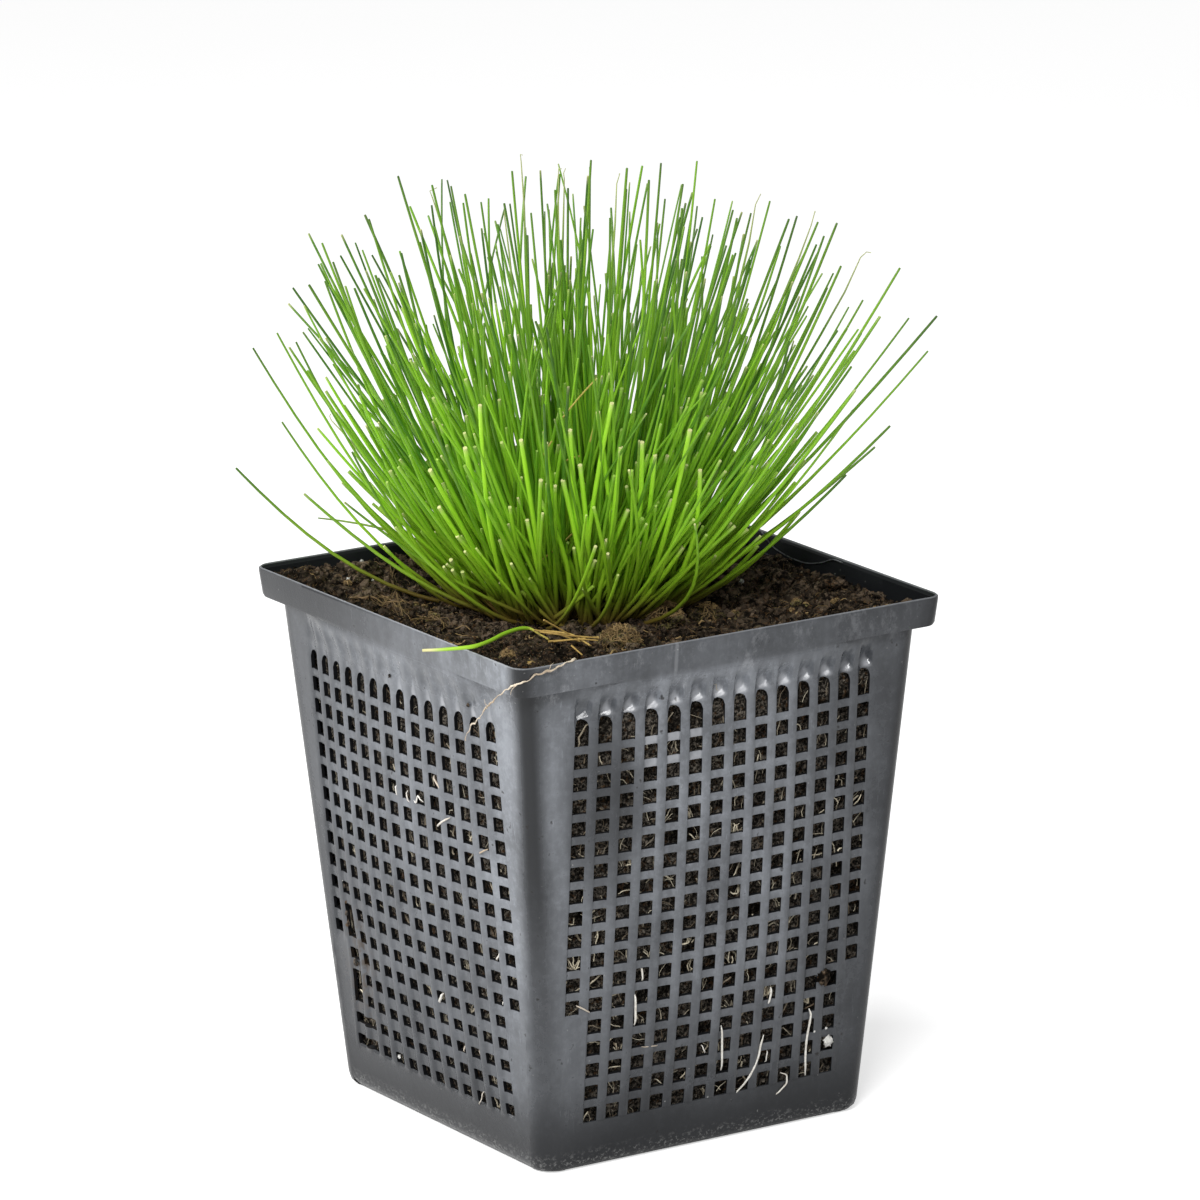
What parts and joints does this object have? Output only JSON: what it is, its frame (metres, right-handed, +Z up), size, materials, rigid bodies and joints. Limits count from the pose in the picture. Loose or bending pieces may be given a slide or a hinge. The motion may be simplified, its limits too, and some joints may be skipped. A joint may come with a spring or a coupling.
{
  "type": "potted fiber optic grass",
  "caption": "Tuft of fine round grass-like stems fanning out of peat soil in a square, tapered mesh basket with a plain rim, standing on its flat base.",
  "frame": {"origin": "middle of the basket's flat base, on the surface that it stands on", "axes": "+Z up; the walls face -X, +X, -Y and +Y, and the corner at -X, -Y is the one nearest the viewer in the picture"},
  "size_m": [0.1513, 0.1508, 0.2139],
  "materials": {
    "basket_plastic": "satin black moulded plastic, dusty and lightly scuffed",
    "soil": "dark crumbly peat with fibres",
    "grass": "smooth fresh green stems with a soft sheen",
    "straw": "dry matt straw",
    "root": "pale matt rootlet"
  },
  "bodies": {
    "root": {"basket": "basket_plastic", "soil": "soil", "grass": "grass", "fallen_stem": "grass", "straw_1": "straw", "straw_2": "straw", "straw_3": "straw", "rim_root": "root"}
  },
  "joints": []
}
